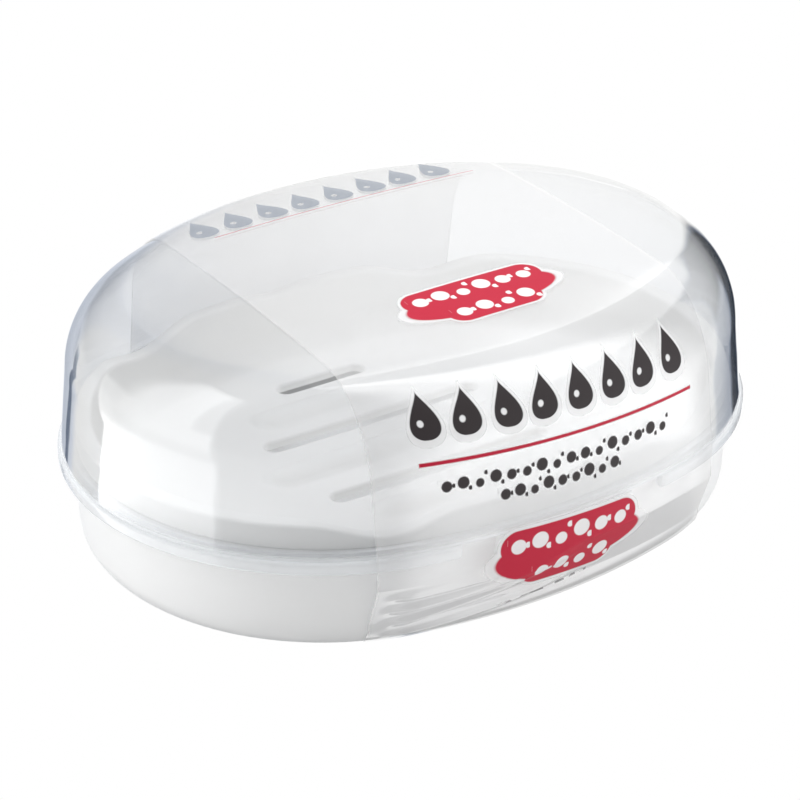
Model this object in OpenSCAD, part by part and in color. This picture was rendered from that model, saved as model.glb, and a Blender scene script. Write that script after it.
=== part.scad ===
// Travel soap box: oval tub, slotted drain tray, clear domed lid and a clear wrapped film band.
// Every outline is one four-arc oval, moved inwards by an offset that grows or shrinks with height.

/* [Oval outline] */
// Length of the box over the lid's skirt
box_l = 120; // [106:1:140]
// Width of the box over the lid's skirt
box_w = 92; // [82:1:102]
// How much tighter the end arcs are than half the width
end_tighten = 1.9; // [1:0.1:4]

/* [Base] */
// Height of the base's lip above the ground
lip_top = 19; // [18:0.5:21]
// How far the lip stands in from the skirt's outside
lip_in = 1.8; // [1.5:0.1:2.1]
// How far the base's wall stands in from the skirt's outside, below the skirt
base_in = 2.5; // [2.3:0.1:3]
// Further inset of the base's wall at its foot, as draft
base_draft = 0.4; // [0:0.1:1.5]
// Thickness of the base's wall
base_t = 1.5; // [1.2:0.1:2]
// Thickness of the base's floor
floor_t = 1.6; // [1.2:0.1:2.4]
// Radius of the base's bottom corner
corner_r = 5.6; // [3:0.2:8]
// Width of the foot ring
foot_w = 2; // [1:0.5:4]
// Height of the foot ring
foot_h = 0.6; // [0.3:0.1:1.2]
// Half width of each snap tab
tab_half_w = 13; // [8:0.5:17]
// How far the snap tab reaches down below the skirt
tab_drop = 2.4; // [1:0.2:5]

/* [Lid] */
// How far the skirt hangs down over the base's lip
lip_cover = 3; // [2:0.1:4]
// Height of the skirt's bead
skirt_h = 2.2; // [1.8:0.1:2.6]
// Rounding of the skirt's bead
bead_r = 0.5; // [0.2:0.1:0.6]
// Height of the wall from the skirt's bead to the shoulder
wall_h = 13.6; // [11:0.2:18]
// Step from the skirt's outside in to the wall's foot
wall_in = 0.6; // [0.3:0.1:0.7]
// Further inset of the wall up to the shoulder, as draft
wall_draft = 1.3; // [0.5:0.1:1.5]
// Inset over the shoulder
shoulder_w = 9.7; // [6:0.1:14]
// Height of the shoulder
shoulder_h = 12.6; // [8:0.2:16]
// How much tighter the end arcs are at the top of the shoulder
top_tighten = 5.5; // [2:0.1:8]
// Rise of the top's crown
crown_h = 1.8; // [0.6:0.1:4]
// Fall of the top towards the two ends
end_fall = 0.8; // [0:0.1:2]
// Thickness of the lid
lid_t = 1.5; // [1.2:0.1:1.7]
// Half width of the skirt's notches
notch_half_w = 19.5; // [18:0.5:24]

/* [Drain tray] */
// Depth of the tray's floor below the base's lip
tray_depth = 8; // [7:0.5:12]
// Depth of the four dips in the rim
rim_dip = 2.6; // [1.5:0.1:2.6]
// Distance of each dip from the middle of the box
dip_x = 29; // [27:0.5:33]
// Half length of each dip
dip_half_l = 12; // [8:0.5:14]
// Fall of the rim in the middle of the long sides
mid_fall = 0.8; // [0:0.1:1.5]
// Half length of the fall in the middle
mid_half_l = 9; // [6:0.5:12]
// Height of the rim in its dips
rim_h = 1.2; // [1:0.1:3.4]
// Rounding of the rim's bead
rim_r = 0.8; // [0.3:0.1:0.9]
// Thickness of the tray's wall and floor
tray_t = 1.5; // [1.2:0.1:1.8]
// Radius between the tray's floor and wall
tray_bend_r = 4.5; // [3:0.1:5.5]
// Rise of the floor from its middle to its edge
floor_rise = 0.8; // [0:0.1:1.2]
// Width of the drain slots
slot_w = 3.4; // [2.4:0.1:4.2]
// Half length of the two inner slots
inner_slot_half_l = 21.5; // [12:0.5:26]
// Distance of the inner slots from the long axis
inner_slot_y = 10.25; // [8:0.25:11]
// Half length of the two outer slots
outer_slot_half_l = 8.8; // [6:0.2:12]
// Distance of the outer slots from the long axis
outer_slot_y = 26.7; // [25:0.1:27.5]
// Width of the raised ribs
rib_w = 6.6; // [4:0.2:8]
// Height of the raised ribs
rib_h = 1.8; // [1:0.1:3]
// Half length of the middle rib
mid_rib_half_l = 27; // [16:0.5:28]
// Half length of the two side ribs
side_rib_half_l = 18.4; // [12:0.2:22]

/* [Film band] */
// Left edge of the band, from the middle
film_left = -31.2; // [-36:0.2:-24]
// Right edge of the band, from the middle
film_right = 34; // [24:0.5:38]
// Turn of the band about the upright axis
film_turn = -2.7; // [-4:0.1:0]
// Thickness of the film
film_t = 0.2; // [0.15:0.05:0.3]
// Length that hangs straight below the skirt
film_hang = 3; // [1:0.5:5]
// Height of the film's lower hem above the ground
film_hem_z = 1.6; // [1:0.2:3]

/* [Fits] */
// Clearance between the skirt, the lip and the snap tabs
snap_gap = 0.3; // [0.2:0.05:0.4]
// Clearance between the tray and the base
tray_gap = 0.4; // [0.3:0.05:0.6]
// Clearance between the tray's rim and the lid or the lip
rim_gap = 0.3; // [0.25:0.05:0.4]
// Clearance between the film and what it lies on
film_gap = 0.15; // [0.1:0.05:0.3]

/* [Hidden] */

half_l = box_l / 2;
half_w = box_w / 2;
// Segments along each end arc and each side arc
end_segs = 32;
side_segs = 12;
ring_n = 2 * (end_segs + side_segs);
// Overlap that joins two shapes of one solid
weld = 0.6;
// Extra reach of a cut past the face it opens
past = 4;
// Rounding of the lip's and the tray rim's lower edges
lip_r = 0.3;
$fn = 64;

// End radii of the outline at the skirt and at the top
end_r = half_w - end_tighten;
top_end_r = half_w - top_tighten;

// Heights of the lid: its seat on the lip, its skirt and its shoulder
seat_z = lip_top + rim_gap;
skirt_z = lip_top - lip_cover;
skirt_top = skirt_z + skirt_h;
shoulder_z = skirt_top + wall_h;

// Insets of the lid's skirt, wall and top, and of the base's inside
skirt_t = lip_in - snap_gap;
wall_top_in = wall_in + wall_draft;
top_in = wall_top_in + shoulder_w;
top_share = (half_w - top_in) / (half_w - wall_top_in);
base_inner = base_in + base_t;

// Draft inset of the lid's wall at height z
function wall_inset(z) = wall_in + wall_draft * (z - skirt_top) / wall_h;

// Heights and insets of the tray: its rim stands level on the lip and is wavy on top
rim_foot_z = lip_top + rim_gap;
rim_top = rim_foot_z + rim_h + rim_dip;
tray_floor_z = lip_top - tray_depth;
tray_edge_z = tray_floor_z + floor_rise;
rim_in = wall_inset(rim_top) + lid_t + rim_gap;
rim_out_r = min(rim_r, 0.8 * (rim_h - lip_r));
tray_wall_in = base_inner + tray_gap;
tray_draft = 0.7;
tray_floor_in = tray_wall_in + tray_draft + tray_t + tray_bend_r;
rim_edge_in = tray_wall_in + tray_t;
side_rib_y = (inner_slot_y + outer_slot_y) / 2;

// Four-arc oval: radii and centres of its arcs for a given end radius
function side_r(r) = (half_l * half_l + half_w * half_w - 2 * half_l * r) / (2 * (half_w - r));
function end_x(r) = half_l - r;
function side_y(r) = side_r(r) - half_w;
function joint_angle(r) = atan2(side_y(r), end_x(r));

// Direction of the outline's normal at step k of a ring
function normal_angle(k, r) =
    let (a = joint_angle(r), half = end_segs + side_segs, m = k % half, turn = k >= half ? 180 : 0)
    turn + (m < end_segs
        ? -a + 2 * a * m / end_segs
        : a + (180 - 2 * a) * (m - end_segs) / side_segs);

// One point of the oval with end radius r, moved inwards by inset
function oval_point(k, r, inset) =
    let (q = normal_angle(k, r), half = end_segs + side_segs, m = k % half, s = k >= half ? -1 : 1)
    m < end_segs
        ? [s * end_x(r) + (r - inset) * cos(q), (r - inset) * sin(q)]
        : [(side_r(r) - inset) * cos(q), (side_r(r) - inset) * sin(q) - s * side_y(r)];

// Half width of the oval at x, and its reach from the middle in direction a
function oval_y(x, r, inset) =
    abs(x) > (side_r(r) - inset) * cos(joint_angle(r))
        ? sqrt(max(0, pow(r - inset, 2) - pow(abs(x) - end_x(r), 2)))
        : sqrt(pow(side_r(r) - inset, 2) - x * x) - side_y(r);
function oval_reach(a, r, inset) =
    let (
        q = joint_angle(r),
        turn = atan2((r - inset) * sin(q), end_x(r) + (r - inset) * cos(q)),
        c = abs(cos(a)),
        s = abs(sin(a)))
    atan2(s, c) < turn
        ? end_x(r) * c + sqrt(pow(r - inset, 2) - pow(end_x(r) * s, 2))
        : -side_y(r) * s + sqrt(pow(side_r(r) - inset, 2) - pow(side_y(r) * c, 2));

function fall(x) = end_fall * pow(x / half_l, 2);
function bump(t) = abs(t) < 1 ? (1 + cos(180 * t)) / 2 : 0;
// Points [inset, height] round a corner; angle 0 looks outwards and 90 looks up
function corner(inset, z, r, angles) = [for (a = angles) [inset - r * cos(a), z + r * sin(a)]];

// Lid surface: rings over the shoulder for angle t, rings over the top for share s
function crown_at_shoulder(t) = crown_h * (1 - pow(1 - (1 - top_share) * (1 - cos(t)), 2));
function crown_at_top(s) = crown_h * (1 - pow(s * top_share, 2));
function shoulder_r(t) = end_r + (top_end_r - end_r) * sin(t);
function shoulder_ring(t, depth) = [
    for (k = [0:ring_n - 1])
        let (
            r = shoulder_r(t),
            p = oval_point(k, r, top_in - (shoulder_w - depth) * cos(t)),
            z = shoulder_z + (shoulder_h - depth) * sin(t) + crown_at_shoulder(t))
        [p.x, p.y, z - fall(p.x) * sin(t)]];
function top_z(x, s) = shoulder_z + shoulder_h + crown_at_top(s) - fall(x);
function top_ring(s, depth) = [
    for (k = [0:ring_n - 1])
        let (p = s * oval_point(k, top_end_r, top_in))
        [p.x, p.y, top_z(p.x, s) - depth]];
function level_ring(inset, z) = [
    for (k = [0:ring_n - 1])
        let (p = oval_point(k, end_r, inset))
        [p.x, p.y, z]];

// Closed solid from stacked rings between a first and a last centre point
module ring_solid(first, rings, last) {
    n = ring_n;
    m = len(rings);
    points = concat([first], [for (ring = rings) each ring], [last]);
    start = [for (k = [0:n - 1]) [0, 1 + (k + 1) % n, 1 + k]];
    sides = [
        for (j = [0:m - 2], k = [0:n - 1])
            let (
                a = 1 + j * n + k,
                b = 1 + j * n + (k + 1) % n)
            each [[a, b, b + n], [a, b + n, a + n]]];
    end = [
        for (k = [0:n - 1])
            [1 + (m - 1) * n + k, 1 + (m - 1) * n + (k + 1) % n, 1 + m * n]];
    polyhedron(points = points, faces = concat(start, sides, end));
}

// Base: rings from the middle of its floor, up the wall, over the lip and down to the foot ring
base_foot_in = base_in + base_draft;
base_bend_r = corner_r - base_t;
base_floor_top = foot_h + floor_t;
foot_in = base_foot_in + corner_r;
module tub() {
    bend = corner(
        base_inner + base_draft + base_bend_r, base_floor_top + base_bend_r, base_bend_r, [-90:15:0]);
    lip = concat(
        corner(base_inner - lip_r, lip_top - lip_r, lip_r, [180:-45:90]),
        corner(lip_in + lip_r, lip_top - lip_r, lip_r, [90:-45:0]),
        [[lip_in, skirt_z + snap_gap], [base_in, skirt_z + snap_gap]]);
    foot = concat(
        corner(foot_in, corner_r, corner_r, [0:-10:-90]),
        [[foot_in + foot_w, 0], [foot_in + foot_w + foot_h, foot_h]]);
    rings = [for (p = concat(bend, lip, foot)) level_ring(p.x, p.y)];
    ring_solid([0, 0, base_floor_top], rings, [0, 0, foot_h]);
}

// Snap tab: a lug on the long side that stands almost flush with the skirt inside its notch
module snap_tab() {
    arc = asin(tab_half_w / side_r(end_r));
    top = skirt_top - snap_gap;
    foot = skirt_z - tab_drop;
    outside = side_r(end_r) - snap_gap / 2;
    root = outside - base_in - weld;
    edge = 0.4;
    translate([0, -side_y(end_r), 0])
        rotate([0, 0, 90 - arc])
            rotate_extrude(angle = 2 * arc)
                polygon([
                    [root, foot - base_in],
                    [outside - edge, foot],
                    [outside, foot + edge],
                    [outside, top - edge],
                    [outside - edge, top],
                    [root, top]]);
}

module base() {
    color("white") {
        tub();
        for (turn = [0, 180])
            rotate([0, 0, turn]) snap_tab();
    }
}

// Straight-sided bar with round ends, along X
module round_bar(half_length, width, height) {
    for (s = [-1, 1])
        translate([s * (half_length - width / 2), 0, 0]) cylinder(h = height, d = width);
    translate([-(half_length - width / 2), -width / 2, 0])
        cube([2 * half_length - width, width, height]);
}

// Raised rib: the crest of a round bar, cut off below the floor's surface
module rib(half_length) {
    r = (rib_w * rib_w / 4 + rib_h * rib_h) / (2 * rib_h);
    reach = half_length - rib_w / 2;
    intersection() {
        translate([0, 0, tray_floor_z + rib_h - r])
            union() {
                rotate([0, 90, 0]) cylinder(h = 2 * reach, r = r, center = true);
                for (s = [-1, 1])
                    translate([s * reach, 0, 0]) sphere(r = r);
            }
        translate([-half_l, -half_w, tray_floor_z - tray_t / 2]) cube([box_l, box_w, rib_h + tray_t]);
    }
}

// Height that the rim loses at x
function rim_fall(x) =
    rim_dip * bump((abs(x) - dip_x) / dip_half_l) + mid_fall * bump(x / mid_half_l);

function wave_ring(inset, z) = [
    for (k = [0:ring_n - 1])
        let (p = oval_point(k, end_r, inset))
        [p.x, p.y, z - rim_fall(p.x)]];
function tray_floor_ring(share, depth) = [
    for (k = [0:ring_n - 1])
        let (p = share * oval_point(k, end_r, tray_floor_in))
        [p.x, p.y, tray_floor_z + floor_rise * share * share - depth]];

module tray_shell() {
    shares = [0.3, 0.65, 1];
    bend_z = tray_edge_z + tray_bend_r;
    outer_r = tray_bend_r + tray_t;
    inner_bend = corner(tray_floor_in, bend_z, tray_bend_r, [-72:18:0]);
    outer_bend = corner(tray_floor_in, bend_z, outer_r, [0:-18:-72]);
    rim = concat(
        [[rim_edge_in + rim_r / 3, rim_top - 2 * rim_r]],
        corner(rim_edge_in - rim_r, rim_top - rim_r, rim_r, [180:-45:90]),
        corner(rim_in + rim_out_r, rim_top - rim_out_r, rim_out_r, [90:-45:0]));
    foot = concat(
        corner(rim_in + lip_r, rim_foot_z + lip_r, lip_r, [0, -90]),
        [[tray_wall_in, rim_foot_z]]);
    rings = concat(
        [for (s = shares) tray_floor_ring(s, 0)],
        [for (p = inner_bend) level_ring(p.x, p.y)],
        [for (p = rim) wave_ring(p.x, p.y)],
        [for (p = concat(foot, outer_bend)) level_ring(p.x, p.y)],
        [for (j = [2:-1:0]) tray_floor_ring(shares[j], tray_t)]);
    ring_solid([0, 0, tray_floor_z], rings, [0, 0, tray_floor_z - tray_t]);
}

module drain_tray() {
    color("whitesmoke")
        difference() {
            union() {
                tray_shell();
                rib(mid_rib_half_l);
                for (s = [-1, 1])
                    translate([0, s * side_rib_y, 0]) rib(side_rib_half_l);
            }
            for (s = [-1, 1]) {
                translate([0, s * inner_slot_y, tray_floor_z - past])
                    round_bar(inner_slot_half_l, slot_w, 2 * past);
                translate([0, s * outer_slot_y, tray_floor_z - past])
                    round_bar(outer_slot_half_l, slot_w, 2 * past);
            }
        }
}

module lid_shell() {
    shares = [0.25, 0.5, 0.75, 1];
    skirt = concat(
        [[wall_in, skirt_top]],
        corner(bead_r, skirt_top - bead_r, bead_r, [90:-30:0]),
        corner(bead_r, skirt_z + bead_r, bead_r, [0:-30:-90]),
        [[skirt_t, skirt_z], [skirt_t, seat_z], [wall_inset(seat_z) + lid_t, seat_z]]);
    rings = concat(
        [for (s = shares) top_ring(s, 0)],
        [for (t = [80:-10:0]) shoulder_ring(t, 0)],
        [for (p = skirt) level_ring(p.x, p.y)],
        [for (t = [0:10:80]) shoulder_ring(t, lid_t)],
        [for (j = [3:-1:0]) top_ring(shares[j], lid_t)]);
    middle_z = top_z(0, 0);
    ring_solid([0, 0, middle_z], rings, [0, 0, middle_z - lid_t]);
}

// Cut for a notch: takes the skirt away over the snap tab, front or rear
module notch_cut() {
    depth = wall_in + lid_t + past;
    translate([-notch_half_w, half_w - depth, skirt_z - past])
        cube([2 * notch_half_w, 2 * past + depth, skirt_h + past]);
}

module lid() {
    color([0.85, 0.9, 0.95, 0.35])
        difference() {
            lid_shell();
            for (turn = [0, 180])
                rotate([0, 0, turn]) notch_cut();
        }
}

// Film band: columns across it, rows along it from the front over the top to the rear
film_cols = 14;
film_slant = tan(film_turn);
film_wall_steps = 3;
film_top_steps = 10;
function film_x(c) = film_left + (film_right - film_left) * c / film_cols;
// Point on a level outline on the front (side -1) or rear (side 1), at the band's own x
function band_point(c, side, r, inset) =
    let (
        x0 = film_x(c),
        x1 = x0 - film_slant * side * oval_y(x0, r, inset),
        x2 = x0 - film_slant * side * oval_y(x1, r, inset))
    [x2, side * oval_y(x2, r, inset)];

// Rows of the upper film from the skirt to the top, standing out by gap
function upper_side_rows(side, gap) = concat(
    [[
        for (c = [0:film_cols])
            let (p = band_point(c, side, end_r, -gap))
            [p.x, p.y, skirt_z]]],
    [
        for (j = [0:film_wall_steps - 1])
            let (h = j / film_wall_steps)
            [
                for (c = [0:film_cols])
                    let (p = band_point(c, side, end_r, wall_top_in * h - gap))
                    [p.x, p.y, skirt_top + wall_h * h]]],
    [
        for (t = [0:12:84])
            [
                for (c = [0:film_cols])
                    let (
                        w = shoulder_w + gap,
                        p = band_point(c, side, shoulder_r(t), top_in - w * cos(t)),
                        z = shoulder_z + (shoulder_h + gap) * sin(t) + crown_at_shoulder(t))
                    [p.x, p.y, z - fall(p.x) * sin(t)]]]);
function upper_top_rows(gap) = [
    for (j = [0:film_top_steps])
        let (share = -1 + 2 * j / film_top_steps)
        [
            for (c = [0:film_cols])
                let (
                    y = share * oval_y(film_x(c), top_end_r, top_in),
                    x = film_x(c) - film_slant * y,
                    s = norm([x, y]) / oval_reach(atan2(y, x), top_end_r, top_in))
                [x, y, top_z(x, s) + gap]]];
function reversed(rows) = [for (j = [len(rows) - 1:-1:0]) rows[j]];
function upper_rows(gap) =
    concat(upper_side_rows(-1, gap), upper_top_rows(gap), reversed(upper_side_rows(1, gap)));

// Rows of the lower film: straight below the skirt, then in to the base's bottom corner
hang_z = skirt_z - rim_gap;
function lower_rows(side, gap) =
    let (
        lean_z = skirt_z - film_hang,
        low_in = base_foot_in + corner_r * (1 - cos(asin(1 - film_hem_z / corner_r))))
    concat(
        [
            for (z = [hang_z, (hang_z + lean_z) / 2])
                [
                    for (c = [0:film_cols])
                        let (p = band_point(c, side, end_r, -gap))
                        [p.x, p.y, z]]],
        [
            for (h = [0, 0.25, 0.5, 0.75, 1])
                [
                    for (c = [0:film_cols])
                        let (
                            lean = (base_foot_in - snap_gap) * h,
                            z = lean_z + (corner_r - lean_z) * h,
                            p = band_point(c, side, end_r, lean - gap))
                        [p.x, p.y, z]]],
        [
            for (h = [0.5, 1])
                [
                    for (c = [0:film_cols])
                        let (
                            z = corner_r + (film_hem_z - corner_r) * h,
                            bend = corner_r * (1 - cos(asin(1 - z / corner_r))),
                            p = band_point(c, side, end_r, base_foot_in + bend - snap_gap - gap))
                        [p.x, p.y, z]]]);

// Closed sheet between an inner and an outer set of rows
module sheet_solid(inner, outer) {
    m = len(inner);
    n = len(inner[0]);
    count = m * n;
    function at(j, c) = j * n + c;
    points = concat([for (row = inner) each row], [for (row = outer) each row]);
    skins = [
        for (j = [0:m - 2], c = [0:n - 2])
            let (
                a = at(j, c),
                b = at(j, c + 1),
                d = at(j + 1, c),
                e = at(j + 1, c + 1))
            each [
                [a, b, e],
                [a, e, d],
                [a + count, e + count, b + count],
                [a + count, d + count, e + count]]];
    hems = [
        for (c = [0:n - 2])
            let (
                a = at(0, c),
                b = at(0, c + 1),
                d = at(m - 1, c),
                e = at(m - 1, c + 1))
            each [
                [a, a + count, b + count],
                [a, b + count, b],
                [d, e, e + count],
                [d, e + count, d + count]]];
    edges = [
        for (j = [0:m - 2])
            let (
                a = at(j, 0),
                b = at(j + 1, 0),
                d = at(j, n - 1),
                e = at(j + 1, n - 1))
            each [
                [a, b, b + count],
                [a, b + count, a + count],
                [d, d + count, e + count],
                [d, e + count, e]]];
    polyhedron(points = points, faces = concat(skins, hems, edges));
}

module film_upper() {
    color([0.9, 0.9, 0.95, 0.3])
        sheet_solid(upper_rows(film_gap), upper_rows(film_gap + film_t));
}

module film_lower() {
    color([0.9, 0.9, 0.95, 0.3])
        union() {
            sheet_solid(
                reversed(lower_rows(-1, film_gap)),
                reversed(lower_rows(-1, film_gap + film_t)));
            sheet_solid(lower_rows(1, film_gap), lower_rows(1, film_gap + film_t));
        }
}

base();
drain_tray();
lid();
film_upper();
film_lower();
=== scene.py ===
import math

import bpy
import numpy as np
from mathutils import Matrix, Vector
from mathutils.geometry import delaunay_2d_cdt


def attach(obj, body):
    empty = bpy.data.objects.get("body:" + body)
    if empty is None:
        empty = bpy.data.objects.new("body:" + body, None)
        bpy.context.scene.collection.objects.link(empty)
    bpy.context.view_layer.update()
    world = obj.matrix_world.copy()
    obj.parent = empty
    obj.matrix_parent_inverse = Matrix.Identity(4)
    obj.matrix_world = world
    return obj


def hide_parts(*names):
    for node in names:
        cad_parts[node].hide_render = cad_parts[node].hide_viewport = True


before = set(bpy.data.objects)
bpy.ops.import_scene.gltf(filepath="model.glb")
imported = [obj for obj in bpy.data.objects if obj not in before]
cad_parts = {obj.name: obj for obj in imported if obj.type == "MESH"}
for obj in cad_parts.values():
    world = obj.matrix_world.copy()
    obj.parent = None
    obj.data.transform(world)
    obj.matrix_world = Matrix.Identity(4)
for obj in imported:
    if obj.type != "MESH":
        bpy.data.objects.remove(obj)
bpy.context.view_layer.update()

# Travel soap box: fine meshes, materials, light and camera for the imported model.
# Shapes are worked out in millimetres, by the same rules as the solids, and scaled at the end.
MM = 0.001

# Edges that turn by more than this many degrees stay sharp
SHARP = 35

# Outline that all the mouldings share, a four-arc oval
HALF_L, HALF_W = 60.0, 46.0
END_R, TOP_END_R = 44.1, 40.5
END_SEGS, SIDE_SEGS = 56, 44
PER_RING = 2 * (END_SEGS + SIDE_SEGS)

# Clearances: of the skirt, lip and snap tabs, of the tray in the base, and under and round its rim
SNAP_GAP, TRAY_GAP, RIM_GAP = 0.3, 0.4, 0.3

# Base, with its lip, foot ring and snap tabs
LIP_TOP, LIP_IN, LIP_R = 19.0, 1.8, 0.3
BASE_IN, BASE_DRAFT, BASE_T, FLOOR_T, CORNER_R = 2.5, 0.4, 1.5, 1.6, 5.6
BASE_FOOT_IN = BASE_IN + BASE_DRAFT
FOOT_W, FOOT_H = 2.0, 0.6
FLOOR_TOP = FOOT_H + FLOOR_T
TAB_HALF_W, TAB_EDGE, TAB_DROP, TAB_WELD = 13.0, 0.4, 2.4, 0.6

# Lid: its skirt over the lip, its wall, shoulder and top, and the notches
LIP_COVER, SKIRT_H, WALL_H, SHOULDER_H, CROWN_H, END_FALL = 3.0, 2.2, 13.6, 12.6, 1.8, 0.8
SKIRT_Z = LIP_TOP - LIP_COVER
SKIRT_TOP = SKIRT_Z + SKIRT_H
SHOULDER_Z = SKIRT_TOP + WALL_H
TOP_Z = SHOULDER_Z + SHOULDER_H
SEAT_Z = LIP_TOP + RIM_GAP
LIP_FOOT = SKIRT_Z + SNAP_GAP
WALL_IN, WALL_DRAFT, SHOULDER_W = 0.6, 1.3, 9.7
WALL_TOP_IN = WALL_IN + WALL_DRAFT
TOP_IN = WALL_TOP_IN + SHOULDER_W
TOP_SHARE = (HALF_W - TOP_IN) / (HALF_W - WALL_TOP_IN)
LID_T, BEAD_R = 1.5, 0.5
SKIRT_T = LIP_IN - SNAP_GAP
NOTCH_HALF_W, NOTCH_EASE = 19.5, 1.1
# How far the notches' cutters reach to both sides of the skirt, and where they start
CUT_REACH, CUT_Z = 10.0, 8.0

# Drain tray: its wavy rim, then its wall and floor
RIM_H, RIM_R = 1.2, 0.8
DIP, DIP_X, DIP_HALF_L, MID_FALL, MID_HALF_L = 2.6, 29.0, 12.0, 0.8, 9.0
RIM_TOP = LIP_TOP + RIM_GAP + RIM_H + DIP
RIM_IN = round(WALL_IN + WALL_DRAFT * (RIM_TOP - SKIRT_TOP) / WALL_H + LID_T + RIM_GAP, 2)
RIM_OUT_R = 0.8 * (RIM_H - LIP_R)
TRAY_DEPTH, TRAY_T, TRAY_BEND_R, TRAY_DRAFT, FLOOR_RISE = 8.0, 1.5, 4.5, 0.7, 0.8
TRAY_Z = LIP_TOP - TRAY_DEPTH
TRAY_WALL_IN = BASE_IN + BASE_T + TRAY_GAP
RIM_EDGE_IN = TRAY_WALL_IN + TRAY_T
TRAY_FLOOR_IN = TRAY_WALL_IN + TRAY_DRAFT + TRAY_T + TRAY_BEND_R

# Slots and ribs, each by its distance from the long axis and its half length
INNER_Y, OUTER_Y = 10.25, 26.7
RIB_Y = (INNER_Y + OUTER_Y) / 2
SLOTS = ((INNER_Y, 21.5), (-INNER_Y, 21.5), (OUTER_Y, 8.8), (-OUTER_Y, 8.8))
RIBS = ((0.0, 27.0), (RIB_Y, 18.4), (-RIB_Y, 18.4))
SLOT_R, SLOT_EDGE = 1.7, 0.5
RIB_W, RIB_H = 6.6, 1.8

# Radius of the small corners under the lip and the rim
FOOT_R = 0.1

# Film band: its edges, its slant on the box, its clearance and how it hangs below the skirt
FILM_LEFT, FILM_RIGHT, FILM_SLANT, FILM_GAP = -31.2, 34.0, -0.0472, 0.25
FILM_MIDDLE, FILM_HALF_W = (FILM_LEFT + FILM_RIGHT) / 2, (FILM_RIGHT - FILM_LEFT) / 2
FILM_COLS = np.linspace(0, 1, 81)
HANG_Z, HEM_Z, SLACK = 13.0, 1.6, 0.3
# Folds low on the front left: where they start and end along X and over what lengths they ease in
# and out, then the height at the start, tilt, depth and width of each
FOLD_START, FOLD_END, FOLD_EASE_IN, FOLD_EASE_OUT = -31.0, 2.0, 4.0, 14.0
FOLDS = ((11.0, 0.05, 0.9, 0.8), (8.3, 0.1, 1.3, 0.8), (5.4, 0.17, 1.2, 0.7), (3.0, 0.1, 0.8, 0.5))

# Inks of the print, BLACK also for the painted crease shadows, and plain white
RED, BLACK = (0.5, 0.006, 0.035, 1), (0.028, 0.022, 0.024, 1)
GREY, PALE = (0.25, 0.28, 0.33, 1), (0.86, 0.84, 0.85, 1)
WHITE = (1, 1, 1, 1)

# Even light of the studio round the box
AMBIENT = 0.45


def side_radius(r):
    """Radius of the oval's side arcs, for end arcs of radius r."""
    return (HALF_L ** 2 + HALF_W ** 2 - 2 * HALF_L * r) / (2 * (HALF_W - r))


def outline(r, inset):
    """Points of the oval with end radius r, moved inwards by inset."""
    big, mid = side_radius(r), HALF_L - r
    drop = big - HALF_W
    joint = math.atan2(drop, mid)
    end = np.linspace(-joint, joint, END_SEGS, endpoint=False)
    side = np.linspace(joint, math.pi - joint, SIDE_SEGS, endpoint=False)
    ends = np.column_stack([mid + (r - inset) * np.cos(end), (r - inset) * np.sin(end)])
    sides = np.column_stack([(big - inset) * np.cos(side), (big - inset) * np.sin(side) - drop])
    half = np.concatenate([ends, sides])
    return np.concatenate([half, -half])


def half_width(x, r, inset):
    """Half width of the oval at x."""
    big, mid = side_radius(r), HALF_L - r
    drop = big - HALF_W
    if abs(x) > (big - inset) * math.cos(math.atan2(drop, mid)):
        return math.sqrt(max(0.0, (r - inset) ** 2 - (abs(x) - mid) ** 2))
    return math.sqrt((big - inset) ** 2 - x * x) - drop


def reach(x, y, r, inset):
    """Share of the way from the middle to the oval at which a point lies."""
    length = math.hypot(x, y)
    if length == 0:
        return 0.0
    c, s = abs(x) / length, abs(y) / length
    big, mid = side_radius(r), HALF_L - r
    drop = big - HALF_W
    joint = math.atan2(drop, mid)
    turn = math.atan2((r - inset) * math.sin(joint), mid + (r - inset) * math.cos(joint))
    if math.atan2(s, c) < turn:
        edge = mid * c + math.sqrt((r - inset) ** 2 - (mid * s) ** 2)
    else:
        edge = -drop * s + math.sqrt((big - inset) ** 2 - (drop * c) ** 2)
    return length / edge


def raise_to(points, z):
    """Flat points at height z, which is a number or one number for each point."""
    return np.column_stack([points, np.broadcast_to(z, len(points))])


def corner(inset, z, r, start, stop, steps):
    """Pairs (inset, height) round a corner; 0 degrees looks outwards and 90 looks up."""
    angles = np.radians(np.linspace(start, stop, steps + 1))
    return [(inset - r * math.cos(a), z + r * math.sin(a)) for a in angles]


def stack(rings, first=None, last=None):
    """Points and faces of stacked rings, with a fan to a first and a last point."""
    n = len(rings[0])
    points = np.concatenate(rings)
    k = np.arange(n)
    nxt = (k + 1) % n
    faces = []
    for j in range(len(rings) - 1):
        a = j * n
        faces += np.column_stack([a + k, a + nxt, a + n + nxt, a + n + k]).tolist()
    extra = []
    for point, ring, flip in ((first, 0, True), (last, (len(rings) - 1) * n, False)):
        if point is not None:
            middle = len(points) + len(extra)
            extra.append(point)
            pair = (nxt, k) if flip else (k, nxt)
            faces += np.column_stack([ring + pair[0], ring + pair[1], np.full(n, middle)]).tolist()
    if extra:
        points = np.concatenate([points, np.array(extra)])
    return points, faces


def joined(*parts):
    """One list of points and faces from several."""
    points, faces, count = [], [], 0
    for part_points, part_faces in parts:
        points.append(np.asarray(part_points))
        faces += [[i + count for i in face] for face in part_faces]
        count += len(part_points)
    return np.concatenate(points), faces


def piece(name, shape, material, body, stands_for, sharp=SHARP):
    """A named object of the model from points in millimetres and faces."""
    points, faces = shape
    mesh = bpy.data.meshes.new(name)
    mesh.from_pydata((np.asarray(points) * MM).tolist(), [], faces)
    mesh.validate()
    mesh.shade_smooth()
    mesh.set_sharp_from_angle(angle=math.radians(sharp))
    mesh.materials.append(material)
    thing = bpy.data.objects.new(name, mesh)
    bpy.context.collection.objects.link(thing)
    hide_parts(stands_for)
    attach(thing, body)
    return thing


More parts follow.
